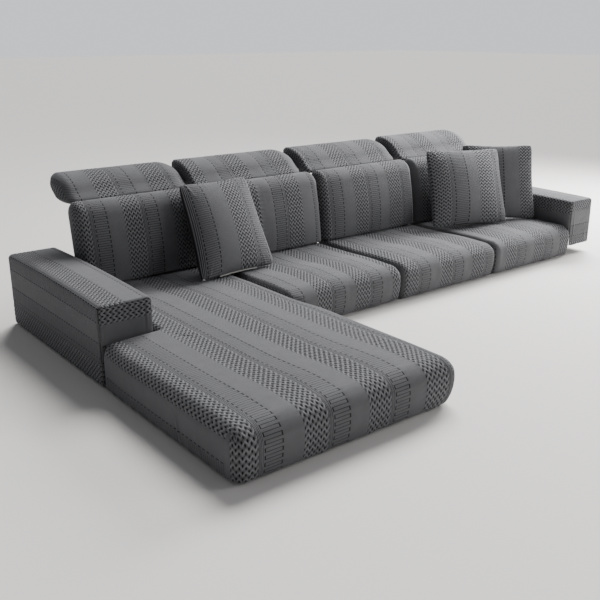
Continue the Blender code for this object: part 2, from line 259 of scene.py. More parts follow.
CLOTH = 0.0028
GAP = 0.0003
HEM = 0.27
BACK_TOP = 0.825
ARM_TOP = 0.589
RIGHT_ARM_HEM = 0.318
LEFT = 0.0
SPLITS = (0.2285, 0.915, 1.632, 2.346, 3.04)
RIGHT = 3.249
CHAISE_FRONT = 0.0
SEAT_FRONT = 0.953
SEAT_BACK = 1.64
ARM_FRONT = 0.893
RIGHT_ARM_FRONT = 0.955
BACK_FRONT = 1.545
BACK_REAR = 1.655
HEADREST_FRONT = 1.69
HEADREST_REAR = 1.865
ARM_REAR = 1.829

# Cells are COLUMN wide where they don't follow the stripes, and ROWS of them lie in a pitch along these.
# Where nothing shows, one wide cell takes the place of COARSE cells each way.
COLUMN = 0.005
ROWS = 5
COARSE = 4
STEP_FACTOR = 1.0
ROUNDING_CELLS = 0.75
SAME_PLACE = 1e-6
# How deep the ribs' hollows lie in the cloth
RELIEF = 0.0017


def zone(edge, inward, radius, step):
    """Stations from an edge to the end of its rounding, spaced evenly in angle."""
    cells = max(2, round(ROUNDING_CELLS * radius / step))
    shares = 1 - np.arange(cells + 1) / cells
    return edge + inward * radius * (1 - np.tan(math.pi / 4 * shares))


def halfway(piece):
    return (piece.left + piece.right) / 2


def even_stations(first, last, step):
    return np.linspace(first, last, max(2, math.ceil((last - first) / step)) + 1)


# Columns on each flank, over the gap and over the plain band, and from either end of a ladder band
FLANK_COLUMNS = 3
GAP_COLUMNS = 6
PLAIN_COLUMNS = 4
LADDER_COLUMNS = (0.0036, 0.0064, 0.03)
REPEATS_EACH_WAY = 14
EDGE_MARGIN = 0.0015


def stripe_stations(first, last, stripe):
    """Columns that follow the stripes: close together in the zigzags and at the ladders' ends."""
    ladder_width = LADDER_END - GAP_END
    far_columns = [ladder_width - place for place in reversed(LADDER_COLUMNS)]
    one = np.concatenate([
        np.arange(FLANK_COLUMNS * FLANKS) * FLANK / FLANK_COLUMNS,
        ZIGZAG_END + np.arange(GAP_COLUMNS) * (GAP_END - ZIGZAG_END) / GAP_COLUMNS,
        GAP_END + np.array((0.0, *LADDER_COLUMNS, *far_columns)),
        LADDER_END + np.arange(PLAIN_COLUMNS) * (REPEAT - LADDER_END) / PLAIN_COLUMNS,
    ])
    repeats = np.arange(-REPEATS_EACH_WAY, REPEATS_EACH_WAY + 1)[:, None] * REPEAT + one[None, :]
    places = np.sort(stripe.place(repeats.ravel()))
    inner = places[(places > first + EDGE_MARGIN) & (places < last - EDGE_MARGIN)]
    return np.concatenate([[first], inner, [last]])


# Where the stripes lie on a piece: start is a place of the piece's own width where a zigzag band
# starts, scale how far the cloth is slack across them, mirrored where they run the other way, fold a
# place about which they are mirrored. Where the cloth is stretched unevenly, edges gives the places
# where its bands meet, and how far across the cloth these are. pitch is one zigzag along the stripes.
Edges = namedtuple("Edges", "places across")


class Stripe:
    def __init__(self, start=0.0, scale=1.0, mirrored=False, pitch=0.0218, fold=None, edges=None):
        self.start = start
        self.scale = -scale if mirrored else scale
        self.pitch = pitch
        self.fold = fold
        self.edges = edges

    def across(self, width_place):
        if self.edges is not None:
            return np.interp(width_place, self.edges.places, self.edges.across)
        if self.fold is not None:
            width_place = self.fold - np.abs(width_place - self.fold)
        return (width_place - self.start) * self.scale

    def place(self, across):
        return self.start + across / self.scale


def cores(block):
    """The boxes that are left when the rounding is taken off the block: one, or two for an L."""
    low = np.array(block.low) + block.near_round
    high = np.array(block.high) - block.far_round
    if block.notch is None:
        return [(low, high)]
    wall_x, wall_y = block.notch
    front_high = np.array([high[0], wall_y - block.far_round[1], high[2]])
    side_low = np.array([wall_x + block.near_round[0], low[1], low[2]])
    return [(low, front_high), (side_low, high)]


def rounding_share(points, block):
    """How far each point lies through the rounding, 1 at its surface, and its nearest core point."""
    best_share, best_core = np.inf, points
    for low, high in cores(block):
        core = np.clip(points, low, high)
        offset = points - core
        share = np.linalg.norm(offset / np.where(offset < 0, block.near_round, block.far_round), axis=-1)
        nearer = share < best_share
        best_share = np.where(nearer, share, best_share)
        best_core = np.where(nearer[..., None], core, best_core)
    return best_share, best_core


def rounded(points, block):
    """Points of the block's plain faces, moved onto its rounded form."""
    share, core = rounding_share(points, block)
    return core + (points - core) / np.maximum(share, 1.0)[..., None]


def swell(position, low, high):
    """0 at both ends of a stretch and 1 at its middle."""
    share = np.clip((position - low) / (high - low), 0, 1)
    return 4 * share * (1 - share)


def block_stations(block, axis, step, stripe=None):
    """Fine stations along one axis, with the notch's wall and its rounding where there is one."""
    near, far = block.near_round[axis], block.far_round[axis]
    parts = [zone(block.low[axis], 1, near, step), zone(block.high[axis], -1, far, step)[::-1]]
    if block.notch is not None and axis < 2:
        wall = block.notch[axis]
        inward, radius = (1, near) if axis == 0 else (-1, far)
        parts.insert(1, np.sort(zone(wall, inward, radius, step)))
    found = [parts[0]]
    for before, after in zip(parts, parts[1:]):
        if stripe is None:
            middle = even_stations(before[-1], after[0], step)
        else:
            middle = stripe_stations(before[-1], after[0], stripe)
        found += [middle[1:-1], after]
    return np.concatenate(found)


class Arcs:
    """How far each station lies along the cloth: over the top, and on down the walls."""

    def __init__(self, block, grid, middle, shape):
        xs, ys, zs = grid
        mid_x, mid_y = middle
        top = zs[-1]

        def lengths(points):
            steps = np.linalg.norm(np.diff(shape(rounded(points, block)), axis=0), axis=1)
            return np.concatenate([[0], np.cumsum(steps)])

        def line(x, y, z):
            return np.column_stack(np.broadcast_arrays(x, y, z)).astype(float)

        self.across = lengths(line(xs, mid_y, top))
        self.across += mid_x - np.interp(mid_x, xs, self.across)
        self.along = lengths(line(mid_x, ys, top))
        self.along += mid_y - np.interp(mid_y, ys, self.along)

        def down(x, y):
            return lengths(line(x, y, zs[::-1]))[::-1]

        self.left = self.across[0] - down(xs[0], mid_y)
        self.right = self.across[-1] + down(xs[-1], mid_y)
        self.front = self.along[0] - down(mid_x, ys[0])
        self.back = self.along[-1] + down(mid_x, ys[-1])
        mid_z = (zs[0] + zs[-1]) / 2
        self.round_corner = lengths(line(xs[0], ys, mid_z))


# A crease is a soft ridge, or a trough where its height is below 0, between two places on the cloth
Crease = namedtuple("Crease", "start end width height")
CREASE_END = 0.25


def crease_heights(points, creases):
    """How far each point is raised by the creases: fully at their middles, less to both ends."""
    total = np.zeros(len(points))
    for crease in creases:
        start, end = np.array(crease.start), np.array(crease.end)
        along = end - start
        share = np.clip((points - start) @ along / (along @ along), 0, 1)
        distance = np.linalg.norm(points - start - share[:, None] * along, axis=1)
        fading = CREASE_END + (1 - CREASE_END) * swell(share, 0, 1)
        total += crease.height * np.exp(-(distance / crease.width) ** 2) * fading
    return total


# Sheets over the blocks ------------------------
def wall_cells(side, solid):
    """The cells of the grid that have nothing beyond them on this side."""
    padded = np.pad(solid, 1)
    beyond = {
        "front": padded[1:-1, :-2],
        "back": padded[1:-1, 2:],
        "left": padded[:-2, 1:-1],
        "right": padded[2:, 1:-1],
    }[side]
    return np.nonzero(solid & ~beyond)


def side_by_side(values):
    """A row for each face, from one number or array for each of its corners."""
    return np.stack([np.atleast_1d(value) for value in values], axis=1)


class Sheet:
    """The faces of one cover and its corners' places on the cloth."""

    def __init__(self, grid):
        self.grid = grid
        self.shape = tuple(len(stations) for stations in grid)
        self.faces = []
        self.across = []
        self.along = []
        self.fine = []

    def add(self, corners, places, fine):
        """corners are (i, j, k) in the grid and places (across, along), as numbers or as arrays."""
        ids = side_by_side(np.ravel_multi_index(corner, self.shape) for corner in corners)
        self.faces += ids.tolist()
        self.across.append(side_by_side(across for across, _ in places).ravel())
        self.along.append(side_by_side(along for _, along in places).ravel())
        self.fine.append(np.full(ids.size, fine))


def hem_mask(block, grid, hem_share):
    """The cells of the low side that lie deeper in the rounding than hem_share."""
    mid_x, mid_y = ((line[:-1] + line[1:]) / 2 for line in grid[:2])
    core_height = cores(block)[0][0][2]
    centres = np.stack(np.broadcast_arrays(mid_x[:, None], mid_y[None, :], core_height), axis=-1)
    return rounding_share(centres, block)[0] > hem_share


def coarse_ranges(count):
    return [(start, min(start + COARSE, count)) for start in range(0, count, COARSE)]


ALL_SIDES = ("top", "front", "back", "left", "right", "hem")
TOP_CORNERS = ((0, 0), (1, 0), (1, 1), (0, 1))
HEM_CORNERS = ((0, 0), (0, 1), (1, 1), (1, 0))


def cover_sheet(block, grid, arcs, sides=ALL_SIDES, coarse_sides=(), wrapped=False, hem_share=0.0):
    """All the faces of one cover, with wide cells on coarse_sides, which don't show.

    Where it is wrapped, the front's stripes run on round its rounded upright edges.
    """
    xs, ys, zs = grid
    sheet = Sheet(grid)
    solid = np.ones((len(xs) - 1, len(ys) - 1), bool)
    if block.notch is not None:
        beside = xs[1:, None] <= block.notch[0] + SAME_PLACE
        behind = ys[None, :-1] >= block.notch[1] - SAME_PLACE
        solid &= ~(beside & behind)

    def add_level(cells, k, turns, fine):
        i, j = np.nonzero(cells)
        corners = [(i + a, j + b, np.full_like(i, k)) for a, b in turns]
        sheet.add(corners, [(arcs.across[corner[0]], arcs.along[corner[1]]) for corner in corners], fine)

    if "top" in sides:
        add_level(solid, len(zs) - 1, TOP_CORNERS, True)
    if "hem" in sides:
        add_level(solid & hem_mask(block, grid, hem_share), 0, HEM_CORNERS, False)
    wrap_end = block.low[1] + block.near_round[1] if wrapped else -math.inf
    for side in ("front", "back", "left", "right"):
        if side in sides:
            i, j = wall_cells(side, solid)
            add_wall(sheet, side, i, j, arcs, wrap_end, side in coarse_sides)
    return sheet


def wall_places(side, i, j, k, arcs, wrapped):
    """Places on the cloth of a wall's corners."""
    if side in ("front", "back"):
        return arcs.across[i], (arcs.front if side == "front" else arcs.back)[k]
    if side == "left":
        plain, turned = arcs.left[k], arcs.across[0] - arcs.round_corner[j]
    else:
        plain, turned = arcs.right[k], arcs.across[-1] + arcs.round_corner[j]
    return np.where(wrapped, turned, plain), np.where(wrapped, arcs.front[k], arcs.along[j])


# Where a wall's lower corners lie from the start of its cell, in the order that faces it out
WALL_CORNERS = {
    "front": ((0, 0), (1, 0)),
    "back": ((1, 1), (0, 1)),
    "left": ((0, 1), (0, 0)),
    "right": ((1, 0), (1, 1)),
}


def add_wall(sheet, side, i, j, arcs, wrap_end, coarse):
    ys, count_z = sheet.grid[1], sheet.shape[2] - 1
    wrapped = (ys[j + 1] <= wrap_end + SAME_PLACE) & (side in ("left", "right"))
    keep = wrapped | (not coarse)
    if keep.any():
        wall_i, wall_j, wall_wrapped = (np.repeat(values[keep], count_z) for values in (i, j, wrapped))
        k = np.tile(np.arange(count_z), keep.sum())
        (a_i, a_j), (b_i, b_j) = WALL_CORNERS[side]
        corners = [
            (wall_i + a_i, wall_j + a_j, k),
            (wall_i + b_i, wall_j + b_j, k),
            (wall_i + b_i, wall_j + b_j, k + 1),
            (wall_i + a_i, wall_j + a_j, k + 1),
        ]
        sheet.add(corners, [wall_places(side, *corner, arcs, wall_wrapped) for corner in corners], True)
    level = j if side in ("front", "back") else i
    for value in np.unique(level[~keep]):
        same = ~keep & (level == value)
        add_coarse_wall(sheet, side, i[same], j[same], arcs)


def add_coarse_wall(sheet, side, i, j, arcs):
    """Wide cells in one plane, which keep the border's points, since finer cells share them."""
    count_z = sheet.shape[2] - 1
    (a_i, a_j), (b_i, b_j) = WALL_CORNERS[side]
    if side in ("front", "back"):
        lines = [(value, j[0] + a_j) for value in range(i.min(), i.max() + 2)]
    else:
        lines = [(i[0] + a_i, value) for value in range(j.min(), j.max() + 2)]
    count = len(lines) - 1
    order = 1 if (b_i - a_i) + (b_j - a_j) > 0 else -1
    for first, last in coarse_ranges(count):
        for low, high in coarse_ranges(count_z):
            ring = [(c, low) for c in range(first, last)]
            ring += [(last, k) for k in range(low, high)]
            ring += [(c, high) for c in range(last, first, -1)]
            ring += [(first, k) for k in range(high, low, -1)]
            kept = [(c, k) for c, k in ring
                    if c in (0, count) or k in (0, count_z) or (c in (first, last) and k in (low, high))]
            corners = [(*lines[c], k) for c, k in kept[::order]]
            sheet.add(corners, [wall_places(side, *corner, arcs, False) for corner in corners], False)


# Each wave's radians in a metre, share and start
Wave = namedtuple("Wave", "rate share start")
WAVES = (Wave(61, 1, 0), Wave(97, 0.6, 1), Wave(37, 0.5, 2))
WAVE_SLANT = 1.3
HEM_WAVE = 0.0011
HEM_HEIGHT = 0.035


def hem_waves(points, low):
    """The elastic hem draws in and wavers a little."""
    near = fade(np.abs(points[:, 2] - low), HEM_HEIGHT)
    run = points[:, 0] + WAVE_SLANT * points[:, 1]
    return HEM_WAVE * near * sum(wave.share * np.sin(run * wave.rate + wave.start) for wave in WAVES)


def finish_sheet(name, sheet, block, shape, hem, drift):
    """Makes the mesh, raises the ribs and creases in its points and gives it its material."""
    stripe = STRIPES[name]
    used, compact = np.unique(np.concatenate(sheet.faces), return_inverse=True)
    places = np.unravel_index(used, sheet.shape)
    plain = np.column_stack([line[place] for line, place in zip(sheet.grid, places)])
    if drift is not None:
        plain = drift.move(plain)
    points = shape(rounded(plain, block))
    faces = np.split(compact, np.cumsum([len(face) for face in sheet.faces])[:-1])
    mesh = new_mesh(name, points, [face.tolist() for face in faces])
    normals = np.empty(points.size)
    mesh.vertex_normals.foreach_get("vector", normals)
    across = stripe.across(np.concatenate(sheet.across))
    along = np.concatenate(sheet.along)
    fine = np.concatenate(sheet.fine)
    if drift is not None:
        across = across + drift.slip(plain[compact]) * stripe.scale
    raised = np.zeros(len(points))
    raised[compact[fine]] = rib_heights(across[fine], along[fine], stripe.pitch)
    raised += crease_heights(points, CREASES[name])
    if hem is not None:
        raised += hem_waves(points, hem)
    moved = points + normals.reshape(-1, 3) * raised[:, None]
    mesh.vertices.foreach_set("co", to_frame(moved).ravel())
    return finish_piece(name, mesh, across, along, stripe.pitch)


def finish_piece(name, mesh, across, along, pitch):
    """Lays the cloth's places and its material on the mesh and puts the piece into the scene."""
    layer = mesh.uv_layers.new(name="cloth")
    layer.data.foreach_set("uv", np.column_stack([across, along]).ravel())
    mesh.shade_smooth()
    mesh.update()
    mesh.materials.append(knit(pitch))
    piece = add_object(name, mesh)
    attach(piece, "root")
    return piece


def dress(name, block, shape, middle, rests_on=(), column=COLUMN, rows=ROWS, down=None, aligned=True,
          hem=None, drift=None, **walls):
    """Builds a cover's fine sheet in the place of its CAD node.

    Its cells are column wide, and as long as one of the rows in a pitch of its stripes. On the walls
    they are down high, or else as high as they are long.
    """
    stripe = STRIPES[name]
    row = stripe.pitch / rows
    columns = stripe if aligned else None
    grid = tuple(block_stations(block, axis, step * STEP_FACTOR, None if axis else columns)
                 for axis, step in enumerate((column, row, down or row)))
    arcs = Arcs(block, grid, middle, shape)
    sheet = cover_sheet(block, grid, arcs, **walls)
    piece = finish_sheet(name, sheet, block, shape, hem, drift)
    declare("cover_" + name)
    return grid, arcs


def declare(node):
    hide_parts(node)


# Cloth of each piece ------------------------
STRIPES = {
    "seat_chaise": Stripe(-0.025, pitch=0.025),
    "seat_left": Stripe(1.318, scale=1.125, pitch=0.024),
    "seat_middle": Stripe(1.895, scale=1.078, pitch=0.024),
    "seat_right": Stripe(2.675, scale=1.084, pitch=0.024),
    "back_chaise": Stripe(0.462, scale=1.06),
    "back_left": Stripe(1.482, mirrored=True),
    "back_middle": Stripe(1.85, scale=1.01),
    "back_right": Stripe(2.93),
    "headrest_chaise": Stripe(0.402, scale=0.98),
    "headrest_left": Stripe(1.262, mirrored=True),
    "headrest_middle": Stripe(1.828),
    "headrest_right": Stripe(2.672, mirrored=True),
    "arm_left": Stripe(-0.319, scale=1.06, pitch=0.023, fold=-0.102),
    "arm_right": Stripe(2.964),
    "panel_left": Stripe(0.069, mirrored=True, pitch=0.023),
    "panel_right": Stripe(0.06, mirrored=True, pitch=0.02),
    "pillow_chaise": Stripe(pitch=0.0212, edges=Edges(
        places=(-0.235, -0.205, -0.115, 0.005, 0.115, 0.132, 0.212, 0.235),
        across=(0.099, 0.115, 0.19, 0.27, 0.367, 0.385, 0.46, 0.475))),
    "pillow_front": Stripe(pitch=0.0212, edges=Edges(
        places=(-0.235, -0.132, -0.115, -0.018, 0.05, 0.165, 0.183, 0.235),
        across=(0.006, 0.097, 0.115, 0.19, 0.27, 0.367, 0.385, 0.43))),
    "pillow_corner": Stripe(pitch=0.0212, edges=Edges(
        places=(-0.235, -0.2, -0.095, -0.07, 0.038, 0.14, 0.235),
        across=(-0.04, 0.0, 0.097, 0.115, 0.19, 0.27, 0.36))),
}
CREASES = {
    "seat_chaise": (
        Crease((-0.006, 0.33, 0.372), (-0.004, 0.318, 0.29), 0.0045, 0.0042),
        Crease((-0.006, 0.345, 0.35), (-0.004, 0.33, 0.285), 0.005, -0.003),
        Crease((-0.006, 0.205, 0.33), (-0.003, 0.19, 0.285), 0.005, 0.002),
        Crease((0.25, 0.78, 0.455), (0.34, 0.73, 0.46), 0.012, 0.0024),
        Crease((0.24, 0.82, 0.455), (0.3, 0.7, 0.46), 0.014, -0.0026),
    ),
    "seat_left": (
        Crease((1.285, 0.934, 0.445), (1.275, 0.932, 0.3), 0.012, -0.0032),
        Crease((1.31, 0.934, 0.44), (1.29, 0.932, 0.33), 0.011, 0.003),
        Crease((1.52, 0.934, 0.44), (1.5, 0.932, 0.34), 0.012, -0.0028),
        Crease((1.535, 0.934, 0.43), (1.525, 0.932, 0.32), 0.01, 0.0026),
        Crease((0.95, 0.95, 0.445), (1.01, 0.934, 0.4), 0.01, 0.003),
        Crease((0.945, 0.95, 0.425), (1.0, 0.934, 0.375), 0.01, -0.003),
    ),
    "seat_middle": (
        Crease((1.86, 0.932, 0.43), (1.868, 0.93, 0.33), 0.013, -0.0032),
        Crease((1.885, 0.932, 0.44), (1.89, 0.93, 0.32), 0.012, 0.0028),
        Crease((2.12, 0.932, 0.43), (2.105, 0.93, 0.33), 0.013, -0.0026),
    ),
    "seat_right": (
        Crease((2.4, 0.934, 0.43), (2.392, 0.932, 0.34), 0.014, -0.0026),
        Crease((2.64, 0.934, 0.44), (2.63, 0.932, 0.33), 0.012, 0.0022),
    ),
    "back_chaise": (
        Crease((0.262, 1.56, 0.7), (0.33, 1.54, 0.64), 0.012, 0.002),
        Crease((0.88, 1.52, 0.56), (0.8, 1.51, 0.5), 0.014, -0.0022),
    ),
    "back_left": (
        Crease((1.6, 1.53, 0.52), (1.52, 1.505, 0.48), 0.012, 0.0026),
        Crease((1.59, 1.53, 0.49), (1.5, 1.505, 0.465), 0.012, -0.0026),
    ),
    "back_middle": (
        Crease((2.31, 1.53, 0.52), (2.23, 1.505, 0.48), 0.012, 0.0024),
        Crease((1.66, 1.54, 0.76), (1.7, 1.53, 0.68), 0.014, 0.002),
    ),
    "back_right": (
        Crease((2.38, 1.54, 0.76), (2.42, 1.53, 0.68), 0.014, 0.002),
    ),
    "headrest_chaise": (
        Crease((0.262, 1.705, 0.9), (0.268, 1.69, 0.82), 0.006, 0.004),
        Crease((0.858, 1.755, 0.9), (0.815, 1.735, 0.885), 0.005, -0.006),
        Crease((0.862, 1.745, 0.88), (0.82, 1.725, 0.865), 0.005, -0.005),
        Crease((0.862, 1.75, 0.89), (0.818, 1.73, 0.875), 0.006, 0.004),
        Crease((0.864, 1.738, 0.862), (0.83, 1.715, 0.85), 0.006, 0.003),
    ),
    "headrest_left": (
        Crease((1.585, 1.745, 0.89), (1.545, 1.73, 0.88), 0.006, 0.003),
    ),
    "headrest_middle": (
        Crease((2.3, 1.745, 0.89), (2.26, 1.73, 0.88), 0.006, 0.003),
    ),
    "headrest_right": (
        Crease((2.985, 1.745, 0.89), (2.95, 1.73, 0.88), 0.006, 0.003),
    ),
    "arm_left": (
        Crease((0.0, 1.15, 0.4), (0.0, 1.2, 0.33), 0.012, 0.0015),
        Crease((0.21, 0.905, 0.56), (0.216, 0.912, 0.47), 0.005, 0.004),
    ),
    "arm_right": (
        Crease((3.249, 1.05, 0.48), (3.249, 1.1, 0.38), 0.012, -0.002),
    ),
    "panel_left": (
        Crease((0.012, 0.893, 0.57), (0.012, 0.893, 0.29), 0.003, 0.0016),
        Crease((0.02, 0.893, 0.57), (0.02, 0.893, 0.29), 0.003, -0.002),
        Crease((0.192, 0.893, 0.57), (0.192, 0.893, 0.46), 0.004, -0.0026),
        Crease((0.2, 0.893, 0.57), (0.2, 0.893, 0.46), 0.004, 0.0022),
    ),
    "panel_right": (
        Crease((3.066, 0.955, 0.52), (3.064, 0.955, 0.34), 0.005, -0.003),
        Crease((3.074, 0.955, 0.52), (3.072, 0.955, 0.34), 0.005, 0.0024),
        Crease((3.11, 0.955, 0.47), (3.18, 0.955, 0.48), 0.008, -0.0022),
        Crease((3.1, 0.955, 0.44), (3.17, 0.955, 0.425), 0.008, 0.0022),
        Crease((3.11, 0.955, 0.4), (3.22, 0.955, 0.415), 0.009, -0.0024),
        Crease((3.19, 0.955, 0.4), (3.2, 0.955, 0.335), 0.009, 0.0026),
        Crease((3.225, 0.955, 0.41), (3.215, 0.955, 0.33), 0.008, -0.0024),
    ),
}
# The size that a cover was cut to
Cut = namedtuple("Cut", "width length area")


# Materials ------------------------
CLOTH_COLOUR = (0.128, 0.128, 0.134)
# Painted highlight, mixed onto the ribs' crests
CREST_HIGHLIGHT_COLOUR = (0.22, 0.22, 0.229)
# Painted shade in the hollows and grooves; the same colour also draws the ladder's dark lines and the
# threads
HOLLOW_SHADE_AND_THREAD_COLOUR = (0.006, 0.006, 0.007)
THREAD_STEP = 0.0021
ROW_STEP = 1.7 * THREAD_STEP
# How far the crests go towards the painted highlight
CREST_HIGHLIGHT_SHARE = 0.8
MOTTLE = 0.14
MOST_DARK = 0.97
# How dark the threads are, and how high their relief is
Threads = namedtuple("Threads", "plain twill rows fuzz")
THREAD_DARKNESS = Threads(0.16, 0.08, 0.12, 0)
THREAD_HEIGHT = Threads(0, 0.5, 0.35, 1.3)
KNIT_LOOK = {
    "Roughness": 0.93,
    "Specular IOR Level": 0.22,
    "Sheen Weight": 0.15,
    "Sheen Roughness": 0.45,
    "Sheen Tint": (0.86, 0.87, 0.92, 1.0),
}
MATERIALS = {}


def mixed(tree, share, first, second):
    node = tree.nodes.new("ShaderNodeMix")
    node.data_type = "RGBA"
    tree.links.new(share, node.inputs["Factor"])
    for place, colour in (("A", first), ("B", second)):
        socket = [s for s in node.inputs if s.name == place and s.type == "RGBA"][0]
        if isinstance(colour, tuple):
            socket.default_value = (*colour, 1.0)
        else:
            tree.links.new(colour, socket)
    return [s for s in node.outputs if s.type == "RGBA"][0]


def noise(tree, coordinates, scale, detail):
    node = tree.nodes.new("ShaderNodeTexNoise")
    node.inputs["Scale"].default_value = scale
    node.inputs["Detail"].default_value = detail
    tree.links.new(coordinates, node.inputs["Vector"])
    return Wire(node.outputs["Fac"])


def bumped(tree, height, distance, strength, below=None):
    node = tree.nodes.new("ShaderNodeBump")
    node.inputs["Distance"].default_value = distance
    node.inputs["Strength"].default_value = strength
    tree.links.new(height.socket, node.inputs["Height"])
    if below is not None:
        tree.links.new(below, node.inputs["Normal"])
    return node.outputs["Normal"]


def knit(pitch):
    """The grey jacquard: hollows with painted shade between ribs with a painted highlight, fine twill,
    and a soft fuzz.
    """
    name = f"knit_{round(pitch * 1e5)}"
    if name in MATERIALS:
        return MATERIALS[name]
    material, tree, shader = new_material(name, KNIT_LOOK)
    Wire.tree = tree
    places = tree.nodes.new("ShaderNodeUVMap")
    places.uv_map = "cloth"
    parts = tree.nodes.new("ShaderNodeSeparateXYZ")
    tree.links.new(places.outputs["UV"], parts.inputs[0])
    across, along = Wire(parts.outputs["X"]), Wire(parts.outputs["Y"])
    height, dark, crest_and_highlight = stripes(across, along, pitch)
    twill = sine(across * (TURN / THREAD_STEP) + along * (TURN / THREAD_STEP))
    rows = sine(along * (TURN / ROW_STEP))
    objects = tree.nodes.new("ShaderNodeTexCoord")
    fuzz = noise(tree, objects.outputs["Object"], scale=420.0, detail=3.0)
    mottle = noise(tree, objects.outputs["Object"], scale=22.0, detail=4.0)
    darker, lighter = (tuple(factor * c for c in CLOTH_COLOUR) for factor in (1 - MOTTLE, 1 + MOTTLE))
    cloth = mixed(tree, mottle.socket, darker, lighter)
    # The crests are lightened with a painted highlight
    lit = mixed(tree, (crest_and_highlight * CREST_HIGHLIGHT_SHARE).socket, cloth, CREST_HIGHLIGHT_COLOUR)
    dim = THREAD_DARKNESS
    threads = dim.plain + twill * dim.twill + rows * dim.rows
    # Painted shade in the hollows and grooves, and the ladder's dark lines and the threads
    shaded = mixed(tree, smaller(larger(dark, threads), MOST_DARK).socket, lit, HOLLOW_SHADE_AND_THREAD_COLOUR)
    tree.links.new(shaded, shader.inputs["Base Color"])
    relief = bumped(tree, height, distance=0.002, strength=1.0)
    high = THREAD_HEIGHT
    threads = twill * high.twill + rows * high.rows + fuzz * high.fuzz
    weave = bumped(tree, threads, distance=0.00025, strength=0.7, below=relief)
    tree.links.new(weave, shader.inputs["Normal"])
    MATERIALS[name] = material
    return material


# Seats ------------------------
Seat = namedtuple("Seat", "name left right front top crown belly_front belly_left belly_right")
SEATS = (
    Seat("chaise", LEFT, SPLITS[1], CHAISE_FRONT, 0.449, 0.013, 0.016, 0.008, 0.042),
    Seat("left", SPLITS[1], SPLITS[2], SEAT_FRONT, 0.448, 0.014, 0.02, 0.0, 0.0),
    Seat("middle", SPLITS[2], SPLITS[3], SEAT_FRONT, 0.45, 0.015, 0.022, 0.0, 0.0),
    Seat("right", SPLITS[3], SPLITS[4], SEAT_FRONT, 0.449, 0.013, 0.02, 0.0, 0.0),
)
SEAT_NEAR_ROUND = (0.036, 0.056, 0.012)
SEAT_FAR_ROUND = (0.042, 0.035, 0.056)
SWELL_PAST_EDGE = 0.02
SWELL_REACH = 0.14
CROWN_RISES_OVER = 0.22
CROWN_FADES_FROM = 1.14
CROWN_ENDS = 1.36
CROWN_DEPTH = 0.06
SEAT_FULLNESS = 0.6
FREE_SIDE_ENDS = 0.885
FREE_SIDE_FADE = 0.2
CHAISE_ROWS = 6
# Where a place on the cloth has the same measures as on the seat
CHAISE_MIDDLE = (0.6, 0.45)
SEAT_MIDDLE = 1.3


class Drift:
    """The chaise's stripes wander to its outer side, from its front to its middle."""

    starts, ends, most = 0.12, 0.42, 0.036
    width = 0.9
    left_hold, left_fade = 0.48, 0.22
    right_hold, right_fade = 0.74, 0.13

    def amount(self, points):
        share = np.clip((points[:, 1] - self.starts) / (self.ends - self.starts), 0, 1)
        return self.most * smooth(share)

    def hold(self, x):
        """Columns stay where the cover's sides and its notch are."""
        left = fade(np.maximum(self.left_hold - x, 0), self.left_fade)
        return left * fade(np.maximum(x - self.right_hold, 0), self.right_fade)

    def move(self, points):
        moved = points.copy()
        moved[:, 0] -= self.amount(points) * (points[:, 0] / self.width) * self.hold(points[:, 0])
        return moved

    def slip(self, moved):
        """How far the stripes have slipped past the place where they would lie."""
        return self.amount(moved) * np.clip(moved[:, 0] / self.width, 0, 1) * (1 - self.hold(moved[:, 0]))


def seat_shape(seat):
    """Crown on the top, flat where the back rests on it, and free sides that swell past the hem."""

    def shape(points):
        x, y, z = points.T
        high = swell(z, HEM, seat.top + SWELL_PAST_EDGE)
        across = swell(x, seat.left, seat.right) ** SEAT_FULLNESS
        along = fade(np.maximum(y - CROWN_FADES_FROM, 0), CROWN_ENDS - CROWN_FADES_FROM)
        along = along * (1 - fade(y - seat.front, CROWN_RISES_OVER)) ** SEAT_FULLNESS
        crown = seat.crown * across * along * fade(seat.top - z, CROWN_DEPTH)
        free = fade(np.maximum(y - (FREE_SIDE_ENDS - FREE_SIDE_FADE), 0), FREE_SIDE_FADE)
        moved = points.copy()
        full = high ** SEAT_FULLNESS
        moved[:, 0] += seat.belly_right * full * free * fade(seat.right - x, SWELL_REACH)
        moved[:, 0] -= seat.belly_left * high * free * fade(x - seat.left, SWELL_REACH)
        moved[:, 1] -= seat.belly_front * high * fade(y - seat.front, SWELL_REACH)
        moved[:, 2] += crown
        return moved

    return shape


def build_seats():
    for seat in SEATS:
        chaise = seat.front == CHAISE_FRONT
        left = seat.left + (0 if chaise else GAP)
        block = Block((left, seat.front, HEM), (seat.right, SEAT_BACK, seat.top), SEAT_NEAR_ROUND,
                      SEAT_FAR_ROUND, (SPLITS[0] + GAP, ARM_FRONT - GAP) if chaise else None)
        middle = CHAISE_MIDDLE if chaise else (halfway(seat), SEAT_MIDDLE)
        dress("seat_" + seat.name, block, seat_shape(seat), middle, rows=CHAISE_ROWS if chaise else ROWS,
              hem=HEM, drift=Drift() if chaise else None, wrapped=True,
              coarse_sides=("back",) if chaise else ("back", "left", "right"))


# Backs, built lying on their openings and then stood up ------------------------
Back = namedtuple("Back", "name left right belly")
BACKS = (
    Back("chaise", SPLITS[0] + 0.01, SPLITS[1], 0.03),
    Back("left", SPLITS[1], SPLITS[2], 0.034),
    Back("middle", SPLITS[2], SPLITS[3], 0.036),
    Back("right", SPLITS[3], SPLITS[4], 0.032),
)
BACK_NEAR_ROUND = (0.036, 0.014, 0.05)
BACK_FAR_ROUND = (0.05, 0.06, 0.056)
BACK_FULLNESS = 0.45
BACK_SWELL_DEPTH = 0.09
BACK_MIDDLE = 0.63
BACK_STEP = 0.006
FRONT_LEAN = 0.17
REAR_LEAN = 0.15


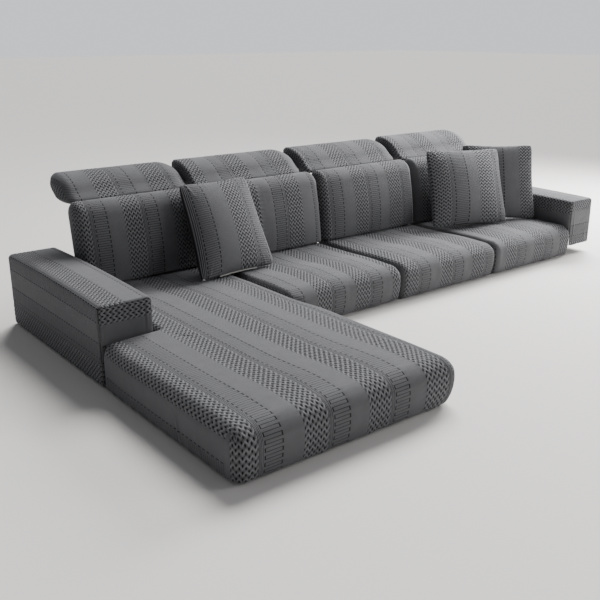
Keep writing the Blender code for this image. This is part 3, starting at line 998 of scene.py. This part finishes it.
def back_shape(back, bottom):
    """Stands the cover up, leans it to the rear and swells its front."""

    def shape(points):
        x, up, out = points.T
        high = swell(up, bottom - SWELL_PAST_EDGE, BACK_TOP + SWELL_PAST_EDGE)
        across = swell(x, back.left, back.right) ** BACK_FULLNESS
        belly = back.belly * high * across * fade(-BACK_FRONT - out, BACK_SWELL_DEPTH)
        lean = np.interp(-out, (BACK_FRONT, BACK_REAR), (FRONT_LEAN, REAR_LEAN))
        rear = -out + lean * (up - bottom) - belly
        return np.column_stack([x, rear, up])

    return shape


def build_backs():
    for back, seat in zip(BACKS, SEATS):
        bottom = seat.top + GAP
        block = Block((back.left + GAP, bottom, -BACK_REAR), (back.right, BACK_TOP, -BACK_FRONT),
                      BACK_NEAR_ROUND, BACK_FAR_ROUND)
        dress("back_" + back.name, block, back_shape(back, bottom), (halfway(back), BACK_MIDDLE),
              rests_on=["seat_" + seat.name], down=BACK_STEP)


# Headrests ------------------------
Headrest = namedtuple("Headrest", "name left right top left_round")
HEADREST_SLIP = 0.018
HEADRESTS = (
    Headrest("chaise", SPLITS[0] + 0.016, SPLITS[1] - HEADREST_SLIP, 0.925, 0.055),
    Headrest("left", SPLITS[1] - HEADREST_SLIP, SPLITS[2] - HEADREST_SLIP, 0.926, 0.026),
    Headrest("middle", SPLITS[2] - HEADREST_SLIP, SPLITS[3] - HEADREST_SLIP, 0.928, 0.026),
    Headrest("right", SPLITS[3] - HEADREST_SLIP, SPLITS[4] - HEADREST_SLIP, 0.934, 0.026),
)
HEADREST_BOTTOM = 0.8
HEADREST_FRONT_ROUND = 0.1
HEADREST_LOW_ROUND = 0.03
HEADREST_FAR_ROUND = (0.1, 0.07, 0.068)
HEADREST_LEAN = 0.75
HEADREST_TUCK = 0.0328
HEADREST_TUCK_HEIGHT = 0.07
HEADREST_HEM_SHARE = 0.5
HEADREST_MIDDLE = 1.792


def headrest_shape(points):
    """Leans the pad back, more steeply where it comes down behind the back cushion."""
    height = points[:, 2] - HEADREST_BOTTOM
    moved = points.copy()
    moved[:, 1] += HEADREST_LEAN * height - HEADREST_TUCK * fade(height, HEADREST_TUCK_HEIGHT)
    return moved


def build_headrests():
    for rest in HEADRESTS:
        low = (rest.left + GAP, HEADREST_FRONT, HEADREST_BOTTOM)
        block = Block(low, (rest.right, HEADREST_REAR, rest.top),
                      (rest.left_round, HEADREST_FRONT_ROUND, HEADREST_LOW_ROUND), HEADREST_FAR_ROUND)
        dress("headrest_" + rest.name, block, headrest_shape, (halfway(rest), HEADREST_MIDDLE),
              hem_share=HEADREST_HEM_SHARE)


# Arms ------------------------
Arm = namedtuple("Arm", "side left right front hem crown")
ARMS = (
    Arm("left", LEFT, SPLITS[0] - GAP, ARM_FRONT, HEM, 0.014),
    Arm("right", SPLITS[4] + GAP, RIGHT, RIGHT_ARM_FRONT, RIGHT_ARM_HEM, 0.01),
)
ARM_NEAR_ROUND = (0.02, 0.01, 0.012)
ARM_FAR_ROUND = (0.02, 0.028, 0.02)
ARM_SWELL_DEPTH = 0.1
ARM_SWELL_PAST_REAR = 0.2
ARM_MIDDLE = 1.3
ARM_COLUMN = 0.0042
ARM_STEP = 0.0045


def arm_shape(arm):
    """The top rises a little between its ends."""

    def shape(points):
        moved = points.copy()
        rise = swell(points[:, 1], arm.front - SWELL_PAST_EDGE, ARM_REAR + ARM_SWELL_PAST_REAR)
        moved[:, 2] += arm.crown * rise * fade(ARM_TOP - points[:, 2], ARM_SWELL_DEPTH)
        return moved

    return shape


def build_panel(arm, block, grid, arcs):
    """The front panel, whose stripes lie level: across runs down it and along runs over it."""
    sheet = cover_sheet(block, grid, arcs, ("front",))
    i, _, k = np.unravel_index(np.concatenate(sheet.faces), sheet.shape)
    sheet.across = [ARM_TOP - grid[2][k]]
    sheet.along = [grid[0][i]]
    cover_shape = arm_shape(arm)

    def shape(points):
        moved = cover_shape(points)
        moved[:, 1] -= CLOTH + GAP
        return moved

    piece = finish_sheet("panel_" + arm.side, sheet, block, shape, arm.hem, None)
    declare("panel_arm_" + arm.side)


def build_arms():
    for arm in ARMS:
        low = (arm.left, arm.front + CLOTH + GAP, arm.hem)
        block = Block(low, (arm.right, ARM_REAR, ARM_TOP), ARM_NEAR_ROUND, ARM_FAR_ROUND)
        grid, arcs = dress(
            "arm_" + arm.side, block, arm_shape(arm), (halfway(arm), ARM_MIDDLE), column=ARM_COLUMN,
            down=ARM_STEP, aligned=False, hem=arm.hem, sides=("top", "back", "left", "right", "hem"),
            coarse_sides=("back", "right"))
        build_panel(arm, block, grid, arcs)


# Scatter cushions ------------------------
Cushion = namedtuple("Cushion", "name low_left low_right high_right high_left half")
CUSHIONS = (
    Cushion("chaise", (0.694, 1.31, 0.4545), (1.146, 1.351, 0.4525),
            (1.151, 1.607, 0.858), (0.731, 1.547, 0.867), 0.062),
    Cushion("front", (2.279, 1.355, 0.4605), (2.774, 1.213, 0.4605),
            (2.913, 1.434, 0.867), (2.401, 1.556, 0.882), 0.062),
    Cushion("corner", (2.64, 1.45, 0.4545), (3.0, 1.175, 0.4545),
            (3.112, 1.325, 0.882), (2.8, 1.624, 0.877), 0.05),
)
CUSHION_EDGE = 0.0035
DRAWN_IN = 0.055
CUSHION_SQUARENESS = 2.2
CUSHION_FULLNESS = 0.55
CUSHION_HALF_WIDTH = 0.235
CORNER_CUT = 0.045
CORNER_POWER = 7
CUSHION_COLUMN = 0.004
CUSHION_ROW = 0.0042
# Tucks where the seam gathers the cloth: edge, place along it, reach inwards and depth
Tuck = namedtuple("Tuck", "edge place reach depth")
TUCKS = (
    Tuck("low", -0.82, 0.2, 0.002), Tuck("low", -0.55, 0.12, 0.0012), Tuck("low", 0.2, 0.14, 0.0013),
    Tuck("low", 0.72, 0.22, 0.002), Tuck("high", -0.86, 0.24, 0.0022), Tuck("high", -0.38, 0.12, 0.0012),
    Tuck("high", 0.34, 0.14, 0.0013), Tuck("high", 0.84, 0.24, 0.0021), Tuck("left", -0.62, 0.16, 0.0014),
    Tuck("left", 0.18, 0.12, 0.001), Tuck("left", 0.78, 0.2, 0.0017), Tuck("right", -0.7, 0.18, 0.0016),
    Tuck("right", 0.05, 0.12, 0.0012), Tuck("right", 0.66, 0.18, 0.0017),
)


def unit(vector):
    return vector / np.linalg.norm(vector)


def cushion_outward(cushion):
    """The way that the cushion's front faces."""
    low_left, low_right, high_right, high_left = (np.array(corner) for corner in cushion[1:5])
    right = unit(low_right + high_right - low_left - high_left)
    up = unit(high_left + high_right - low_left - low_right)
    return unit(np.cross(right, up))


def seam_points(cushion, s, t):
    """Points in the cushion's middle plane; s and t run from -1 to 1, and the sides draw in."""
    across = s * (1 - DRAWN_IN * (1 - t * t))
    up = t * (1 - DRAWN_IN * (1 - s * s))
    low_left, low_right, high_right, high_left = (np.array(corner) for corner in cushion[1:5])
    u, v = ((1 + across) / 2)[..., None], ((1 + up) / 2)[..., None]
    low_side = low_left * (1 - u) + low_right * u
    high_side = high_left * (1 - u) + high_right * u
    return low_side * (1 - v) + high_side * v


def soft_corners(s, t):
    """The corners are rounded where the seam turns."""
    corner = 1 - CORNER_CUT * np.abs(s * t) ** CORNER_POWER
    return s * corner, t * corner


SEAM_EASE = 0.28
SEAM_FADE = 0.03
RIB_FADE = 0.02
TUCK_WIDTH = 0.05
TUCK_WAVES = 45
TUCK_TURN = 0.4


def tuck_heights(s, t):
    total = np.zeros_like(s)
    for tuck in TUCKS:
        outward, beside = (t, s) if tuck.edge in ("low", "high") else (s, t)
        inward = 1 + outward if tuck.edge in ("low", "left") else 1 - outward
        beside = beside - tuck.place * (1 - TUCK_TURN * inward)
        fading = fade(inward, 2 * tuck.reach) * (1 - fade(inward, SEAM_FADE))
        total += tuck.depth * fading * np.cos(beside * TUCK_WAVES) * np.exp(-(beside / TUCK_WIDTH) ** 2)
    return total


def cushion_side(cushion, s, t, stripe, facing):
    """Points of the front, facing 1, or the rear, -1, puffed out from the seam."""
    inside_share = (1 - np.abs(s) ** CUSHION_SQUARENESS) * (1 - np.abs(t) ** CUSHION_SQUARENESS)
    puff = cushion.half * inside_share ** CUSHION_FULLNESS + CUSHION_EDGE
    ribs = rib_heights(stripe.across(s * CUSHION_HALF_WIDTH), t * CUSHION_HALF_WIDTH, stripe.pitch)
    fade_in = 1 - fade(1 - np.maximum(np.abs(s), np.abs(t)), RIB_FADE)
    puff = puff + (ribs + tuck_heights(s, t)) * fade_in
    outward = cushion_outward(cushion) * facing
    return seam_points(cushion, *soft_corners(s, t)) + puff[..., None] * outward


def pillow_stations(step):
    """Steps from -1 to 1 that are a little finer at both seams."""
    even = np.linspace(-1, 1, round(2 * CUSHION_HALF_WIDTH / step) + 1)
    return (1 - SEAM_EASE) * even + SEAM_EASE * np.sin(even * math.pi / 2)


def build_cushions():
    for cushion in CUSHIONS:
        name = "pillow_" + cushion.name
        stripe = STRIPES[name]
        s_line = pillow_stations(CUSHION_COLUMN * STEP_FACTOR)
        t_line = pillow_stations(CUSHION_ROW * STEP_FACTOR)
        s, t = np.meshgrid(s_line, t_line, indexing="ij")
        points = np.concatenate([cushion_side(cushion, s, t, stripe, facing).reshape(-1, 3)
                                 for facing in (1, -1)])
        index = np.arange(s.size).reshape(s.shape)
        quads = np.stack([index[:-1, :-1], index[1:, :-1], index[1:, 1:], index[:-1, 1:]], axis=-1)
        front_faces = quads.reshape(-1, 4)
        rear_faces = front_faces[:, ::-1] + index.size
        ring = np.concatenate([index[:-1, 0], index[-1, :-1], index[:0:-1, -1], index[0, :0:-1]])
        following = np.roll(ring, -1)
        band = np.stack([ring, index.size + ring, index.size + following, following], axis=1)
        faces = np.concatenate([front_faces, rear_faces, band])
        mesh = new_mesh(name, points, faces.tolist())
        corners = faces.ravel() % index.size
        across = stripe.across(s.ravel()[corners] * CUSHION_HALF_WIDTH)
        along = t.ravel()[corners] * CUSHION_HALF_WIDTH
        piece = finish_piece(name, mesh, across, along, stripe.pitch)
        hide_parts("cushion_" + cushion.name)


# Zip ------------------------
TOOTH_STEP = 0.0026
TAPE_DARK = (0.3, 0.29, 0.27)
TAPE_LIGHT = (0.62, 0.6, 0.56)
METAL_LOOK = {"Base Color": (0.78, 0.77, 0.75, 1.0), "Metallic": 1.0, "Roughness": 0.28}


def tape_material():
    """Pale woven tape with the zip's fine teeth along it."""
    material, tree, shader = new_material("zip_tape_finish", {"Roughness": 0.6})
    Wire.tree = tree
    objects = tree.nodes.new("ShaderNodeTexCoord")
    parts = tree.nodes.new("ShaderNodeSeparateXYZ")
    tree.links.new(objects.outputs["Object"], parts.inputs[0])
    teeth = sine(Wire(parts.outputs["X"]) * (TURN / TOOTH_STEP))
    colour = mixed(tree, (teeth * 0.5 + 0.5).socket, TAPE_DARK, TAPE_LIGHT)
    tree.links.new(colour, shader.inputs["Base Color"])
    tree.links.new(bumped(tree, teeth, distance=0.0004, strength=0.7), shader.inputs["Normal"])
    return material


def metal_material():
    """Satin metal with a fine brushed unevenness."""
    material, tree, shader = new_material("zip_metal_finish", METAL_LOOK)
    objects = tree.nodes.new("ShaderNodeTexCoord")
    brushed = noise(tree, objects.outputs["Object"], scale=900.0, detail=2.0)
    tree.links.new(bumped(tree, brushed, distance=0.0001, strength=0.4), shader.inputs["Normal"])
    return material


def dress_zip():
    for node, material in (("zip_tape", tape_material()), ("zip_pull", metal_material())):
        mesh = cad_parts[node].data
        mesh.materials.clear()
        mesh.materials.append(material)


# Stage ------------------------
CAMERA_PLACE = (-1.1496, -1.7557, 1.5465)
CAMERA_YAW = 0.6684
CAMERA_PITCH = -0.32
FOCAL_PIXELS = 811.6
FRAME_PIXELS = 600
SENSOR = 36.0

# A sun's power is in watts a square metre, and its size the angle that it fills
Lamp = namedtuple("Lamp", "name kind place target size power")
LAMPS = (
    Lamp("top", "SUN", (4.5, 3.9, 4.8), (1.2, 0.9, 0.4), 0.5, 4.4),
    Lamp("corner", "AREA", (4.1, 1.8, 1.9), (2.9, 1.3, 0.5), 0.8, 24.0),
    Lamp("right", "AREA", (5.2, 1.5, 2.4), (2.9, 1.2, 0.5), 1.6, 300.0),
    Lamp("front", "AREA", (4.2, -2.2, 2.2), (2.2, 1.2, 0.5), 2.2, 80.0),
)


FLOOR_HALF = 40.0
FLOOR_DROP = 0.003
FLOOR_MIDDLE = (1.6, 0.9)
# The background is bright low down and dims above, by the height of each direction
SKY = (("From Min", 0.05), ("From Max", 0.14), ("To Min", 0.95), ("To Max", 0.2))


def build_stage():
    corners = [(FLOOR_MIDDLE[0] + x * FLOOR_HALF, FLOOR_MIDDLE[1] + y * FLOOR_HALF, HEM - FLOOR_DROP)
               for x, y in ((-1, -1), (1, -1), (1, 1), (-1, 1))]
    stage = add_object("studio_floor", new_mesh("studio_floor", corners, [(0, 1, 2, 3)]))
    look = {"Base Color": (0.78, 0.755, 0.73, 1.0), "Roughness": 0.9}
    stage.data.materials.append(new_material("studio_floor", look)[0])
    world = bpy.data.worlds.new("studio")
    world.use_nodes = True
    sky = world.node_tree
    sky.nodes["Background"].inputs["Color"].default_value = (0.94, 0.96, 1.0, 1.0)
    directions = sky.nodes.new("ShaderNodeTexCoord")
    parts = sky.nodes.new("ShaderNodeSeparateXYZ")
    sky.links.new(directions.outputs["Generated"], parts.inputs[0])
    heights = sky.nodes.new("ShaderNodeMapRange")
    sky.links.new(parts.outputs["Z"], heights.inputs["Value"])
    for name, value in SKY:
        heights.inputs[name].default_value = value
    sky.links.new(heights.outputs["Result"], sky.nodes["Background"].inputs["Strength"])
    bpy.context.scene.world = world


def build_lamps():
    for lamp in LAMPS:
        light = bpy.data.lights.new(lamp.name, lamp.kind)
        if lamp.kind == "SUN":
            light.angle = lamp.size
        else:
            light.shape = "SQUARE"
            light.size = lamp.size
        light.energy = lamp.power
        holder = add_object(lamp.name, light)
        place = to_frame(lamp.place)
        holder.location = place
        toward = to_frame(lamp.target) - place
        pan = math.atan2(toward[1], toward[0]) - math.pi / 2
        tilt = math.atan2(math.hypot(toward[0], toward[1]), -toward[2])
        holder.rotation_euler = (tilt, 0, pan)


def build_camera():
    camera = bpy.data.cameras.new("photo_camera")
    camera.sensor_width = SENSOR
    camera.lens = FOCAL_PIXELS / FRAME_PIXELS * SENSOR
    camera.clip_start = 0.05
    holder = add_object("photo_camera", camera)
    holder.location = to_frame(CAMERA_PLACE)
    holder.rotation_euler = (math.pi / 2 + CAMERA_PITCH, 0, -CAMERA_YAW)
    bpy.context.scene.camera = holder


build_camera()
build_lamps()
build_stage()
build_seats()
build_backs()
build_headrests()
build_arms()
build_cushions()
dress_zip()
